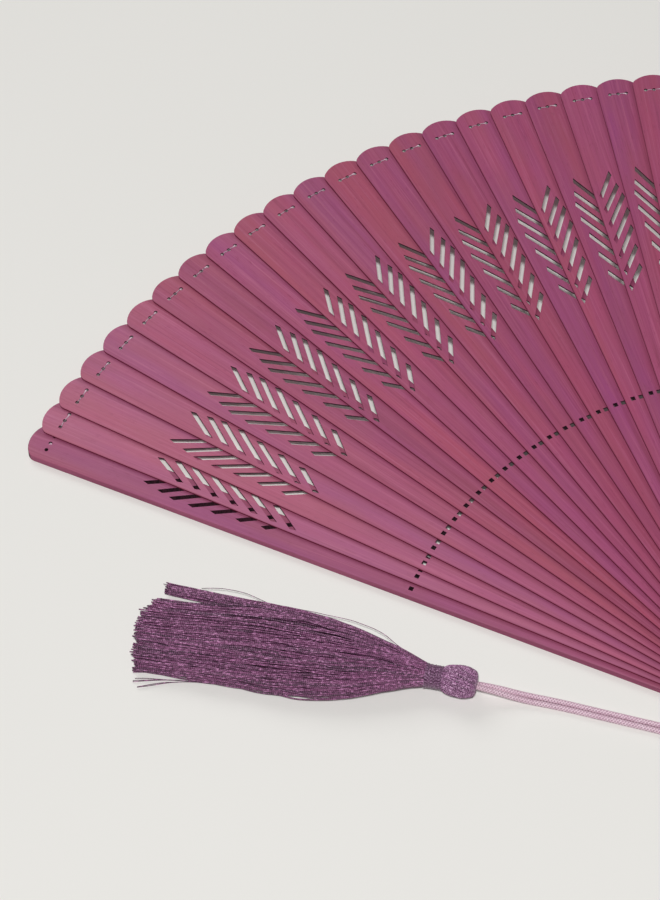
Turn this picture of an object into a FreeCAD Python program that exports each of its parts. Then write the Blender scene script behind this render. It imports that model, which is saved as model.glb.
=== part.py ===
import FreeCAD, Part
import math
import os

os.makedirs("parts", exist_ok=True)

# ---------------------------------------------------------------------------
# Folding hand fan, all-stick (brise) pattern: two guards and 44 thin leaves on
# one rivet, with a wire shackle at the rivet that carries a tassel on a
# doubled cord.
#
# Frame: millimetres, +Z up along the rivet. The origin is the rivet's axis in
# the plane that the fan lies on. The fan is open and spread about +Y, evenly but for the last steps at both ends.
# Blade 0 is the left guard, at the bottom; blades 1 to 44 are the leaves, each
# one lying on the blade to its left; blade 45 is the right guard, on top.
# ---------------------------------------------------------------------------

doc = FreeCAD.newDocument("hand_fan")
sheet = doc.addObject("Spreadsheet::Sheet", "Sizes")
sheet.Label = "Sizes"

CELLS = [
    # blade outline, in the blade's own frame: X outward along the blade, Y to its left
    ("tip_reach", 198.0, "rivet axis to the tip of a blade"),
    ("tip_arc", 7.4, "radius of the round end"),
    ("corner_arc", 2.6, "radius between round end and sides"),
    ("corner_half_width", 5.55, "half width where the side meets the corner"),
    ("butt_arc", 3.02, "radius of the butt end"),
    ("butt_centre", 2.5, "centre of the butt end beyond the rivet"),
    ("leaf_thick", 0.43, "thickness of a leaf"),
    ("leaf_pitch", 0.55, "height from one blade to the next"),
    ("guard_thick", 2.0, "thickness of a guard"),
    ("guard_round", 0.35, "rounding of the guards' edges"),
    ("rebate_depth", 1.2, "depth of the relief under the rivet head and shackle"),
    ("rebate_reach", 9.0, "reach of that relief from the rivet axis"),
    ("spread_step", 2.92, "angle from one leaf to the next, open"),
    ("guard_close", 1.12, "how much nearer a guard stands than an even spread would put it"),
    ("leaf_close", 0.42, "the same for the first and the last leaf"),
    ("last_blade", 45, "number of the right guard"),
    # holes
    ("rivet_bore", 1.6, "radius of the rivet hole in a blade"),
    ("thread_hole", 0.5, "radius of the thread holes near the tip"),
    ("thread_reach", 192.5, "distance of the thread holes from the rivet"),
    ("thread_space", 2.25, "spacing of the thread holes"),
    ("square_reach", 92.2, "distance of the row of square holes"),
    ("square_space", 2.1, "spacing of the square holes"),
    ("square_side", 1.15, "side of a square hole"),
    # slots of the half ear of wheat: outer point, inner point, and the slanting end
    ("slot_cut_u", 1.6, "end of a slot, along the blade"),
    ("slot_cut_v", 0.4, "end of a slot, across the blade"),
    ("slot_inner_v", 3.4, "inner points of the slots, across the blade"),
    ("slot_a_out_u", 166.0, "slot a, outer point along"), ("slot_a_out_v", 0.65, "across"), ("slot_a_in_u", 156.4, "inner point along"),
    ("slot_b_out_u", 161.6, "slot b, outer point along"), ("slot_b_out_v", 1.60, "across"), ("slot_b_in_u", 151.4, "inner point along"),
    ("slot_c_out_u", 158.0, "slot c, outer point along"), ("slot_c_out_v", 2.35, "across"), ("slot_c_in_u", 146.3, "inner point along"),
    ("slot_d_out_u", 152.8, "slot d, outer point along"), ("slot_d_out_v", 2.40, "across"), ("slot_d_in_u", 140.8, "inner point along"),
    ("slot_e_out_u", 146.8, "slot e, outer point along"), ("slot_e_out_v", 1.85, "across"), ("slot_e_in_u", 135.4, "inner point along"),
    ("slot_f_out_u", 140.1, "slot f, outer point along"), ("slot_f_out_v", 1.35, "across"), ("slot_f_in_u", 130.0, "inner point along"),
    ("slot_g_out_u", 133.4, "slot g, outer point along"), ("slot_g_out_v", 0.80, "across"), ("slot_g_in_u", 124.7, "inner point along"),
    # rivet
    ("rivet_radius", 1.5, "radius of the rivet's shank"),
    ("rivet_head_radius", 2.4, "radius of its heads"),
    ("rivet_head_thick", 0.47, "thickness of its heads"),
    # shackle
    ("wire_radius", 0.5, "radius of the shackle's wire"),
    ("wire_height", 0.62, "height of the lower arm's centre line"),
    ("wire_start", 2.65, "where the arms leave the eyes"),
    ("bow_reach", 11.8, "rivet axis to the upright of the shackle"),
    ("bow_bend", 1.5, "bend radius of the shackle"),
    ("eye_outer", 3.0, "outer radius of the eyes"),
    ("eye_inner", 1.6, "inner radius of the eyes"),
    ("eye_low", 0.53, "underside of the lower eye"),
    ("eye_thick", 0.56, "thickness of the eyes"),
    # tassel
    ("tassel_x", -77.4, "head's inner end, X"), ("tassel_y", 10.83, "Y"), ("tassel_z", 3.95, "height of the axis"),
    ("tassel_turn", -12.6, "direction of the tassel's axis, towards the cord"),
    ("head_long", 8.1, "length of the head"), ("head_end", 2.75, "radius at its ends"), ("head_belly", 3.88, "radius at its middle"),
    ("neck_long", 4.2, "length of the wrapped neck"), ("neck_radius", 2.8, "radius of the wrapping"),
    # cord
    ("cord_radius", 0.7, "radius of the cord"),
    ("knot_radius", 0.44, "radius of the knotted thread end"), ("knot_long", 1.2, "length of the knotted thread end"),
]
for row, (name, value, note) in enumerate(CELLS, start=1):
    sheet.set("A%d" % row, name)
    sheet.set("B%d" % row, repr(value))
    sheet.set("C%d" % row, note)
    sheet.setAlias("B%d" % row, name)
doc.recompute()


def val(name):
    return float(sheet.get(name))


ORIGIN = -1          # geometry index of a sketch's own origin and X axis


def plane(body, role):
    for feature in body.Origin.OriginFeatures:
        if feature.Role == role:
            return feature
    raise RuntimeError("no plane " + role)


def new_body(label):
    body = doc.addObject("PartDesign::Body", "Body_" + label)
    body.Label = label
    return body


def new_sketch(body, name, role="XY_Plane", offset=None):
    sk = body.newObject("Sketcher::SketchObject", name)
    sk.AttachmentSupport = [(plane(body, role), "")]
    sk.MapMode = "FlatFace"
    if offset is not None:
        sk.AttachmentOffset = FreeCAD.Placement(FreeCAD.Vector(0, 0, offset), FreeCAD.Rotation())
    return sk


import Sketcher


def dim(sk, kind, geo, pos, value, expr):
    """Bind one coordinate of a point to the sheet; expr is the signed expression."""
    if abs(value) < 1e-9:
        sk.addConstraint(Sketcher.Constraint("PointOnObject", geo, pos, -1 if kind == "DistanceY" else -2))
        return
    if value > 0:
        i = sk.addConstraint(Sketcher.Constraint(kind, ORIGIN, 1, geo, pos, value))
        sk.setExpression("Constraints[%d]" % i, expr)
    else:
        i = sk.addConstraint(Sketcher.Constraint(kind, geo, pos, ORIGIN, 1, -value))
        sk.setExpression("Constraints[%d]" % i, "-(%s)" % expr)


def polygon(sk, corners):
    """Closed polygon; each corner is (x, x_expression, y, y_expression)."""
    count = len(corners)
    first = sk.GeometryCount
    for a in range(count):
        p, q = corners[a], corners[(a + 1) % count]
        sk.addGeometry(Part.LineSegment(FreeCAD.Vector(p[0], p[2], 0), FreeCAD.Vector(q[0], q[2], 0)), False)
    for a in range(count):
        sk.addConstraint(Sketcher.Constraint("Coincident", first + a, 2, first + (a + 1) % count, 1))
    for a, c in enumerate(corners):
        dim(sk, "DistanceX", first + a, 1, c[0], c[1])
        dim(sk, "DistanceY", first + a, 1, c[2], c[3])


def circle(sk, x, x_expr, y, y_expr, r, r_expr):
    g = sk.addGeometry(Part.Circle(FreeCAD.Vector(x, y, 0), FreeCAD.Vector(0, 0, 1), r), False)
    dim(sk, "DistanceX", g, 3, x, x_expr)
    dim(sk, "DistanceY", g, 3, y, y_expr)
    i = sk.addConstraint(Sketcher.Constraint("Radius", g, r))
    sk.setExpression("Constraints[%d]" % i, r_expr)


# ---- blade outline ---------------------------------------------------------

def solve_outline():
    reach, big, small = val("tip_reach"), val("tip_arc"), val("corner_arc")
    half, rb, cb = val("corner_half_width"), val("butt_arc"), val("butt_centre")
    mid = reach - big

    def at(phi):
        c, s = math.cos(phi), math.sin(phi)
        kx0, ky0 = -cb - (rb - small) * s, (rb - small) * c
        # |K0 + t d - M| = big - small
        ax, ay = kx0 - mid, ky0
        b = ax * c + ay * s
        cc = ax * ax + ay * ay - (big - small) ** 2
        t = -b + math.sqrt(max(b * b - cc, 0.0))
        kx, ky = kx0 + t * c, ky0 + t * s
        return (kx, ky), (kx - small * s, ky + small * c)
    lo, hi = 0.0, 0.03
    for _ in range(60):
        phi = 0.5 * (lo + hi)
        k, p = at(phi)
        if p[1] > half:
            hi = phi
        else:
            lo = phi
    return phi, k, p


PHI, CORNER, SIDE_END = solve_outline()
print("side taper %.3f deg, side ends at %.2f, half width at the rivet %.2f"
      % (math.degrees(PHI), SIDE_END[0], SIDE_END[1] - SIDE_END[0] * math.tan(PHI)))


def blade_outline(sk):
    v = FreeCAD.Vector
    reach, big, small = val("tip_reach"), val("tip_arc"), val("corner_arc")
    rb, cb = val("butt_arc"), val("butt_centre")
    mid = reach - big
    z = v(0, 0, 1)
    side = (-cb - rb * math.sin(PHI), rb * math.cos(PHI))
    join = math.atan2(CORNER[1], CORNER[0] - mid)
    ang = math.pi / 2 + PHI
    # 0 left side, 1 left corner, 2 round end, 3 right corner, 4 right side, 5 butt
    sk.addGeometry([
        Part.LineSegment(v(side[0], side[1], 0), v(SIDE_END[0], SIDE_END[1], 0)),
        Part.ArcOfCircle(Part.Circle(v(CORNER[0], CORNER[1], 0), z, small), join, ang),
        Part.ArcOfCircle(Part.Circle(v(mid, 0, 0), z, big), -join, join),
        Part.ArcOfCircle(Part.Circle(v(CORNER[0], -CORNER[1], 0), z, small), -ang, -join),
        Part.LineSegment(v(side[0], -side[1], 0), v(SIDE_END[0], -SIDE_END[1], 0)),
        Part.ArcOfCircle(Part.Circle(v(-cb, 0, 0), z, rb), ang, 2 * math.pi - ang),
    ], False)
    con = Sketcher.Constraint
    for a in (con("Tangent", 0, 2, 1, 2), con("Tangent", 1, 1, 2, 2), con("Tangent", 2, 1, 3, 2),
              con("Tangent", 3, 1, 4, 2), con("Tangent", 4, 1, 5, 2), con("Tangent", 5, 1, 0, 1)):
        sk.addConstraint(a)
    for g, name in ((1, "corner_arc"), (3, "corner_arc"), (2, "tip_arc"), (5, "butt_arc")):
        i = sk.addConstraint(con("Radius", g, val(name)))
        sk.setExpression("Constraints[%d]" % i, "Sizes." + name)
    dim(sk, "DistanceX", 2, 3, mid, "Sizes.tip_reach - Sizes.tip_arc")
    sk.addConstraint(con("PointOnObject", 2, 3, -1))
    dim(sk, "DistanceX", 5, 3, -cb, "-Sizes.butt_centre")
    sk.addConstraint(con("PointOnObject", 5, 3, -1))
    dim(sk, "DistanceY", 0, 2, SIDE_END[1], "Sizes.corner_half_width")
    dim(sk, "DistanceY", 4, 2, -SIDE_END[1], "-Sizes.corner_half_width")


def pocket(body, name, sk, from_below, depth_expr=None, depth=0.0):
    cut = body.newObject("PartDesign::Pocket", name)
    cut.Profile = sk
    cut.Reversed = from_below
    if depth_expr is None:
        cut.Type = 1
    else:
        cut.Type = 0
        cut.Length = depth
        cut.setExpression("Length", depth_expr)
    return cut


def spread(index):
    """angle of a blade in the open fan; the limiting thread is drawn tighter at both ends"""
    close = {0: " - Sizes.guard_close", 1: " - Sizes.leaf_close",
             44: " + Sizes.leaf_close", 45: " + Sizes.guard_close"}.get(index, "")
    return "90 + (Sizes.last_blade / 2 - %d) * Sizes.spread_step%s" % (index, close)


def blade(label, index, thick_name, is_guard=False, relief_below=False, relief_above=False):
    """One stick of the fan. Even blades carry the left half of an ear, odd ones the right half."""
    body = new_body(label)
    sign = 1.0 if index % 2 else -1.0           # odd blades: slots run from the left side outward to the right
    sgn = "" if index % 2 else "-"
    opp = "-" if index % 2 else ""
    thick = val(thick_name)

    sk = new_sketch(body, label + "_outline")
    blade_outline(sk)
    pad = body.newObject("PartDesign::Pad", label + "_pad")
    pad.Profile = sk
    pad.Length = thick
    pad.setExpression("Length", "Sizes." + thick_name)
    doc.recompute()
    full = body.Shape.Volume
    last = pad

    if is_guard:
        edges = []
        for n, edge in enumerate(pad.Shape.Edges, start=1):
            box = edge.BoundBox
            if box.ZLength < 1e-6:
                edges.append("Edge%d" % n)
        rnd = body.newObject("PartDesign::Fillet", label + "_round")
        rnd.Base = (pad, edges)
        rnd.Radius = val("guard_round")
        rnd.setExpression("Radius", "Sizes.guard_round")
        body.Tip = rnd
        last = rnd

    holes = new_sketch(body, label + "_holes")
    circle(holes, 0.0, "0", 0.0, "0", val("rivet_bore"), "Sizes.rivet_bore")
    for n in (-1, 0, 1):
        circle(holes, val("thread_reach"), "Sizes.thread_reach", n * val("thread_space"),
               "%d * Sizes.thread_space" % n, val("thread_hole"), "Sizes.thread_hole")
    half = val("square_side") / 2
    for n in (-1, 0, 1):
        corners = []
        for du, dv in ((-1, -1), (1, -1), (1, 1), (-1, 1)):
            corners.append((val("square_reach") + du * half, "Sizes.square_reach + %d * Sizes.square_side / 2" % du,
                            n * val("square_space") + dv * half,
                            "%d * Sizes.square_space + %d * Sizes.square_side / 2" % (n, dv)))
        polygon(holes, corners)
    pocket(body, label + "_hole_cut", holes, True)

    slots = new_sketch(body, label + "_slots")
    cu, cv, iv = val("slot_cut_u"), val("slot_cut_v"), val("slot_inner_v")
    for s in "abcdefg":
        ou, ov, iu = val("slot_%s_out_u" % s), val("slot_%s_out_v" % s), val("slot_%s_in_u" % s)
        e_ou, e_ov, e_iu = "Sizes.slot_%s_out_u" % s, "Sizes.slot_%s_out_v" % s, "Sizes.slot_%s_in_u" % s
        polygon(slots, [
            (ou, e_ou, -sign * ov, "%s(%s)" % (opp, e_ov)),
            (ou - cu, e_ou + " - Sizes.slot_cut_u", -sign * (ov + cv), "%s(%s + Sizes.slot_cut_v)" % (opp, e_ov)),
            (iu, e_iu, sign * iv, "%s(Sizes.slot_inner_v)" % sgn),
            (iu + cu, e_iu + " + Sizes.slot_cut_u", sign * (iv + cv), "%s(Sizes.slot_inner_v + Sizes.slot_cut_v)" % sgn),
        ])
    pocket(body, label + "_slot_cut", slots, True)

    if relief_below or relief_above:
        sk = new_sketch(body, label + "_relief", "XY_Plane", 0.0 if relief_below else thick)
        if relief_above:
            sk.setExpression("AttachmentOffset.Base.z", "Sizes." + thick_name)
        polygon(sk, [(-9.0, "-Sizes.rebate_reach", -9.0, "-Sizes.rebate_reach"),
                     (9.0, "Sizes.rebate_reach", -9.0, "-Sizes.rebate_reach"),
                     (9.0, "Sizes.rebate_reach", 9.0, "Sizes.rebate_reach"),
                     (-9.0, "-Sizes.rebate_reach", 9.0, "Sizes.rebate_reach")])
        pocket(body, label + "_relief_cut", sk, relief_below, "Sizes.rebate_depth", val("rebate_depth"))

    # stacked height and spread angle
    body.Placement = FreeCAD.Placement(FreeCAD.Vector(0, 0, 0), FreeCAD.Rotation(FreeCAD.Vector(0, 0, 1), 10))
    body.setExpression("Placement.Rotation.Angle", spread(index))
    if index == 0:
        z_expr = "0"
    elif index == 45:
        z_expr = "Sizes.guard_thick + 44 * Sizes.leaf_pitch + (Sizes.leaf_pitch - Sizes.leaf_thick)"
    else:
        z_expr = "Sizes.guard_thick + %d * Sizes.leaf_pitch - Sizes.leaf_thick" % index
    body.setExpression("Placement.Base.z", z_expr)
    doc.recompute()
    if not body.Shape.Volume < full - 20 * thick:
        raise RuntimeError("cuts missing in " + label)
    return body


parts = []
parts.append(blade("guard_left", 0, "guard_thick", True, relief_below=True))
for k in range(1, 45):
    parts.append(blade("leaf_%02d" % k, k, "leaf_thick"))
parts.append(blade("guard_right", 45, "guard_thick", True, relief_above=True))

TOTAL = "(2 * Sizes.guard_thick + 44 * Sizes.leaf_pitch + Sizes.leaf_pitch - Sizes.leaf_thick)"
total = 2 * val("guard_thick") + 44 * val("leaf_pitch") + val("leaf_pitch") - val("leaf_thick")
print("stack height %.3f" % total)

# ---- rivet -----------------------------------------------------------------

rivet = new_body("rivet_pin")
sk = new_sketch(rivet, "rivet_pin_head_sketch")
circle(sk, 0.0, "0", 0.0, "0", val("rivet_head_radius"), "Sizes.rivet_head_radius")
pad = rivet.newObject("PartDesign::Pad", "rivet_pin_head")
pad.Profile = sk
pad.Length = val("rivet_head_thick")
pad.setExpression("Length", "Sizes.rivet_head_thick")
sk = new_sketch(rivet, "rivet_pin_shank_sketch")
circle(sk, 0.0, "0", 0.0, "0", val("rivet_radius"), "Sizes.rivet_radius")
pad = rivet.newObject("PartDesign::Pad", "rivet_pin_shank")
pad.Profile = sk
pad.Length = total
pad.setExpression("Length", TOTAL)
doc.recompute()
edges = ["Edge%d" % n for n, e in enumerate(pad.Shape.Edges, start=1)
         if abs(e.BoundBox.ZMin) < 1e-6 and abs(e.BoundBox.ZMax) < 1e-6]
cham = rivet.newObject("PartDesign::Chamfer", "rivet_pin_edge")
cham.Base = (pad, edges)
cham.Size = 0.15
rivet.Tip = cham
parts.append(rivet)

cap = new_body("rivet_cap")
sk = new_sketch(cap, "rivet_cap_sketch")
circle(sk, 0.0, "0", 0.0, "0", val("rivet_head_radius"), "Sizes.rivet_head_radius")
circle(sk, 0.0, "0", 0.0, "0", val("rivet_radius"), "Sizes.rivet_radius")
pad = cap.newObject("PartDesign::Pad", "rivet_cap_pad")
pad.Profile = sk
pad.Length = val("rivet_head_thick")
pad.setExpression("Length", "Sizes.rivet_head_thick")
cap.Placement = FreeCAD.Placement(FreeCAD.Vector(0, 0, total - val("rivet_head_thick")), FreeCAD.Rotation())
cap.setExpression("Placement.Base.z", TOTAL + " - Sizes.rivet_head_thick")
parts.append(cap)

# ---- shackle: two eyes under the rivet heads and a wire bow behind the butts --

bail = new_body("bail")
spine = new_sketch(bail, "bail_spine", "YZ_Plane")
v = FreeCAD.Vector
y0, y1, rb = -val("wire_start"), -val("bow_reach"), val("bow_bend")
z0 = val("wire_height")
z1 = total - z0
Z1 = TOTAL + " - Sizes.wire_height"
spine.addGeometry([
    Part.LineSegment(v(y0, z0, 0), v(y1 + rb, z0, 0)),
    Part.ArcOfCircle(Part.Circle(v(y1 + rb, z0 + rb, 0), v(0, 0, 1), rb), math.pi, 1.5 * math.pi),
    Part.LineSegment(v(y1, z0 + rb, 0), v(y1, z1 - rb, 0)),
    Part.ArcOfCircle(Part.Circle(v(y1 + rb, z1 - rb, 0), v(0, 0, 1), rb), 0.5 * math.pi, math.pi),
    Part.LineSegment(v(y1 + rb, z1, 0), v(y0, z1, 0)),
], False)
con = Sketcher.Constraint
for c in (con("Tangent", 0, 2, 1, 2), con("Tangent", 1, 1, 2, 1), con("Tangent", 2, 2, 3, 2), con("Tangent", 3, 1, 4, 1),
          con("Horizontal", 0), con("Horizontal", 4), con("Vertical", 2)):
    spine.addConstraint(c)
for g in (1, 3):
    i = spine.addConstraint(con("Radius", g, rb))
    spine.setExpression("Constraints[%d]" % i, "Sizes.bow_bend")
dim(spine, "DistanceX", 0, 1, y0, "-Sizes.wire_start")
dim(spine, "DistanceY", 0, 1, z0, "Sizes.wire_height")
dim(spine, "DistanceX", 2, 1, y1, "-Sizes.bow_reach")
dim(spine, "DistanceX", 4, 2, y0, "-Sizes.wire_start")
dim(spine, "DistanceY", 4, 2, z1, Z1)
prof = new_sketch(bail, "bail_section", "XZ_Plane", val("wire_start"))
prof.setExpression("AttachmentOffset.Base.z", "Sizes.wire_start")
circle(prof, 0.0, "0", z0, "Sizes.wire_height", val("wire_radius"), "Sizes.wire_radius")
doc.recompute()
pipe = bail.newObject("PartDesign::AdditivePipe", "bail_wire")
pipe.Profile = prof
pipe.Spine = (spine, [])
doc.recompute()
for name, low_expr, low in (("low", "Sizes.eye_low", val("eye_low")),
                            ("top", TOTAL + " - Sizes.eye_low - Sizes.eye_thick", total - val("eye_low") - val("eye_thick"))):
    sk = new_sketch(bail, "bail_eye_%s_sketch" % name, "XY_Plane", low)
    sk.setExpression("AttachmentOffset.Base.z", low_expr)
    circle(sk, 0.0, "0", 0.0, "0", val("eye_outer"), "Sizes.eye_outer")
    circle(sk, 0.0, "0", 0.0, "0", val("eye_inner"), "Sizes.eye_inner")
    pad = bail.newObject("PartDesign::Pad", "bail_eye_" + name)
    pad.Profile = sk
    pad.Length = val("eye_thick")
    pad.setExpression("Length", "Sizes.eye_thick")
doc.recompute()
parts.append(bail)

# ---- thread ends: the knotted ends of the limiting thread, in the guards ----

for label, guard, index in (("thread_knot_left", "guard_left", 0), ("thread_knot_right", "guard_right", 45)):
    body = new_body(label)
    sk = new_sketch(body, label + "_sketch")
    circle(sk, val("thread_reach"), "Sizes.thread_reach", 0.0, "0", val("knot_radius"), "Sizes.knot_radius")
    pad = body.newObject("PartDesign::Pad", label + "_pad")
    pad.Profile = sk
    pad.Length = val("knot_long")
    pad.setExpression("Length", "Sizes.knot_long")
    body.Placement = FreeCAD.Placement(v(0, 0, 0), FreeCAD.Rotation(v(0, 0, 1), 10))
    body.setExpression("Placement.Rotation.Angle", spread(index))
    body.setExpression("Placement.Base.z", "0.3" if index == 0 else TOTAL + " - 0.3 - Sizes.knot_long")
    doc.recompute()
    parts.append(body)

# ---- tassel ----------------------------------------------------------------


def on_tassel(body):
    body.Placement = FreeCAD.Placement(v(val("tassel_x"), val("tassel_y"), val("tassel_z")),
                                       FreeCAD.Rotation(v(0, 0, 1), val("tassel_turn")))
    for axis in "xyz":
        body.setExpression("Placement.Base." + axis, "Sizes.tassel_" + axis)


head = new_body("tassel_head")
sk = new_sketch(head, "tassel_head_profile")
hl, he, hb = val("head_long"), val("head_end"), val("head_belly")
arc = Part.Arc(v(0, he, 0), v(hl * 0.52, hb, 0), v(hl, he, 0))
sk.addGeometry([Part.LineSegment(v(0, 0, 0), v(0, he, 0)), arc,
                Part.LineSegment(v(hl, he, 0), v(hl, 0, 0)), Part.LineSegment(v(hl, 0, 0), v(0, 0, 0))], False)
# the arc runs counter-clockwise, so its start is at the cord's end of the head
sk.addConstraint(con("Coincident", 0, 2, 1, 2))
sk.addConstraint(con("Coincident", 1, 1, 2, 1))
sk.addConstraint(con("Coincident", 2, 2, 3, 1))
sk.addConstraint(con("Coincident", 3, 2, 0, 1))
sk.addConstraint(con("Coincident", 0, 1, ORIGIN, 1))
sk.addConstraint(con("Vertical", 0))
sk.addConstraint(con("Vertical", 2))
sk.addConstraint(con("Horizontal", 3))
dim(sk, "DistanceX", 2, 2, hl, "Sizes.head_long")
dim(sk, "DistanceY", 0, 2, he, "Sizes.head_end")
dim(sk, "DistanceY", 2, 1, he, "Sizes.head_end")
i = sk.addConstraint(con("Radius", 1, arc.Radius if hasattr(arc, "Radius") else sk.Geometry[1].Radius))
rev = head.newObject("PartDesign::Revolution", "tassel_head_turn")
rev.Profile = sk
rev.ReferenceAxis = (sk, ["H_Axis"])
rev.Angle = 360
on_tassel(head)
doc.recompute()
cedges = ["Edge%d" % n for n, e in enumerate(rev.Shape.Edges, start=1)
          if e.BoundBox.XLength < 1e-6 and e.BoundBox.YLength > 4]
rnd = head.newObject("PartDesign::Fillet", "tassel_head_round")
rnd.Base = (rev, cedges)
rnd.Radius = 0.7
head.Tip = rnd
doc.recompute()
parts.append(head)

neck = new_body("tassel_binding")
sk = new_sketch(neck, "tassel_binding_profile")
nl, nr = val("neck_long"), val("neck_radius")
polygon(sk, [(0.0, "0", 0.0, "0"), (0.0, "0", 2.6, "Sizes.neck_radius - 0.2"), (-nl / 2, "-Sizes.neck_long / 2", nr, "Sizes.neck_radius"),
             (-nl, "-Sizes.neck_long", 2.6, "Sizes.neck_radius - 0.2"), (-nl, "-Sizes.neck_long", 0.0, "0")])
rev = neck.newObject("PartDesign::Revolution", "tassel_binding_turn")
rev.Profile = sk
rev.ReferenceAxis = (sk, ["H_Axis"])
rev.Angle = 360
on_tassel(neck)
doc.recompute()
parts.append(neck)

# the skirt of threads, as one closed body: along, full width, full height, centre above the tassel's axis
SKIRT = [(-4.2, 5.2, 5.2, 0.0), (-7.4, 8.4, 6.6, 0.0), (-15.4, 14.6, 8.2, 0.25), (-25.1, 19.4, 8.8, 0.5),
         (-35.0, 23.0, 8.8, 0.5), (-47.0, 25.0, 8.2, 0.2), (-59.5, 25.8, 7.2, -0.3), (-73.7, 25.6, 5.6, -1.1)]
skirt = new_body("tassel_skirt")
sections = []
for n, (sx, wide, high, up) in enumerate(SKIRT):
    sk = new_sketch(skirt, "tassel_skirt_section_%d" % n, "YZ_Plane", sx)
    big, small = (wide, high) if wide >= high else (high, wide)
    if abs(wide - high) < 1e-6:
        sk.addGeometry(Part.Circle(v(0, up, 0), v(0, 0, 1), wide / 2), False)
        sk.addConstraint(con("Radius", 0, wide / 2))
    else:
        sk.addGeometry(Part.Ellipse(v(wide / 2, up, 0), v(0, up + high / 2, 0), v(0, up, 0)), False)
    sections.append(sk)
doc.recompute()
loft = skirt.newObject("PartDesign::AdditiveLoft", "tassel_skirt_loft")
loft.Profile = sections[0]
loft.Sections = sections[1:]
loft.Ruled = False
on_tassel(skirt)
doc.recompute()
parts.append(skirt)

# ---- cord: a single length from the head, round the shackle's upright and back --

ROUTE = [
    (-69.90, 9.75, 3.15), (-64.70, 9.25, 2.25), (-58.50, 8.00, 0.95), (-50.00, 6.10, 0.75), (-38.50, 2.70, 0.75),
    (-24.00, -1.50, 0.85), (-11.00, -5.90, 1.60), (-2.75, -9.10, 2.95), (1.88, -11.00, 3.45),
    (0.80, -13.69, 3.45), (-3.90, -11.65, 2.95), (-12.00, -8.20, 1.60), (-24.60, -3.45, 0.85), (-38.90, 1.00, 0.75),
    (-50.30, 4.45, 0.75), (-58.80, 6.35, 1.05), (-64.85, 7.60, 2.80), (-69.90, 8.35, 4.25),
]


def cord_wire(points):
    """Straight runs joined by tangent arcs, each as large as its two runs allow."""
    pts = [FreeCAD.Vector(*p) for p in points]
    edges, radii, here = [], [], pts[0]
    for a in range(1, len(pts) - 1):
        before, after = pts[a] - pts[a - 1], pts[a + 1] - pts[a]
        turn = before.getAngle(after)
        d0, d1 = FreeCAD.Vector(before).normalize(), FreeCAD.Vector(after).normalize()
        radius = 0.45 * min(before.Length, after.Length) / math.tan(turn / 2)
        back = 0.45 * min(before.Length, after.Length)
        p, q = pts[a] - d0 * back, pts[a] + d1 * back
        inward = (d1 - d0).normalize()
        centre = pts[a] + inward * (radius / math.cos(turn / 2))
        middle = centre - inward * radius
        edges.append(Part.LineSegment(here, p).toShape())
        edges.append(Part.Arc(p, middle, q).toShape())
        radii.append((round(radius, 2), round(math.degrees(turn), 1)))
        here = q
    edges.append(Part.LineSegment(here, pts[-1]).toShape())
    return Part.Wire(edges), radii


wire, radii = cord_wire(ROUTE)
start = FreeCAD.Vector(*ROUTE[0])
ahead = (FreeCAD.Vector(*ROUTE[1]) - start).normalize()
ring = Part.Wire([Part.makeCircle(val("cord_radius"), start, ahead)])
tube = wire.makePipeShell([ring], True, False)
cord = doc.addObject("Part::Feature", "Cord")
cord.Label = "tassel_cord"
cord.Shape = tube
cord.Placement = FreeCAD.Placement()
print("cord arc radii and turns:", radii)
print("cord runs:", [round((FreeCAD.Vector(*b) - FreeCAD.Vector(*a)).Length, 1) for a, b in zip(ROUTE, ROUTE[1:])])
print("cord length %.1f, tube volume %.1f, section times length %.1f"
      % (wire.Length, tube.Volume, math.pi * val("cord_radius") ** 2 * wire.Length))
parts.append(cord)

# ---- check and write -------------------------------------------------------

doc.recompute()
bad = [o.Label for o in doc.Objects if "Invalid" in o.State or "Error" in o.State]
if bad:
    raise RuntimeError("failed objects: %s" % bad)
for old in os.listdir("parts"):
    if old.endswith(".step"):
        os.remove(os.path.join("parts", old))
for p in parts:
    shape = p.Shape
    if shape.isNull() or not shape.isValid() or len(shape.Solids) != 1 or shape.Volume <= 0:
        raise RuntimeError("bad shape: %s %s" % (p.Label, len(shape.Solids)))
    if p.Label[:5] != "leaf_" or p.Label in ("leaf_01", "leaf_44"):
        b = shape.BoundBox
        print("%-18s vol %9.2f  x %.1f..%.1f y %.1f..%.1f z %.2f..%.2f"
              % (p.Label, shape.Volume, b.XMin, b.XMax, b.YMin, b.YMax, b.ZMin, b.ZMax))
    shape.exportStep("parts/%s.step" % p.Label)
print("wrote %d parts" % len(parts))
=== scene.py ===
import math

import bpy
import numpy as np
from mathutils import Matrix, Vector


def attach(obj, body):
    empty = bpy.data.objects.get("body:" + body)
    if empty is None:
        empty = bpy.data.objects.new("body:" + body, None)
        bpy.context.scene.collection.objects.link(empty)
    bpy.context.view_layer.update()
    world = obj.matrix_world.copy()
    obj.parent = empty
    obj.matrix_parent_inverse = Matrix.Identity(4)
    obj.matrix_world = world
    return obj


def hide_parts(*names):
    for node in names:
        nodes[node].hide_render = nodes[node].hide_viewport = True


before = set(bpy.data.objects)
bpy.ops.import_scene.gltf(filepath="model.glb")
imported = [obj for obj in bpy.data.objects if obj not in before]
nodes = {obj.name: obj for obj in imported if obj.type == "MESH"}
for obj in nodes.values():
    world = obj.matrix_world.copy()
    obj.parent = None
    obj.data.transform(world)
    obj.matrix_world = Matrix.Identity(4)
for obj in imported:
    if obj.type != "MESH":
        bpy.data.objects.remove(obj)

MM = 0.001
rng = np.random.default_rng(4417)
scene = bpy.context.scene
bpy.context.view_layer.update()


def srgb(r, g, b):
    out = []
    for c in (r, g, b):
        c /= 255.0
        out.append(c / 12.92 if c <= 0.04045 else ((c + 0.055) / 1.055) ** 2.4)
    return (*out, 1.0)


# ---------------------------------------------------------------- camera

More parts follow.
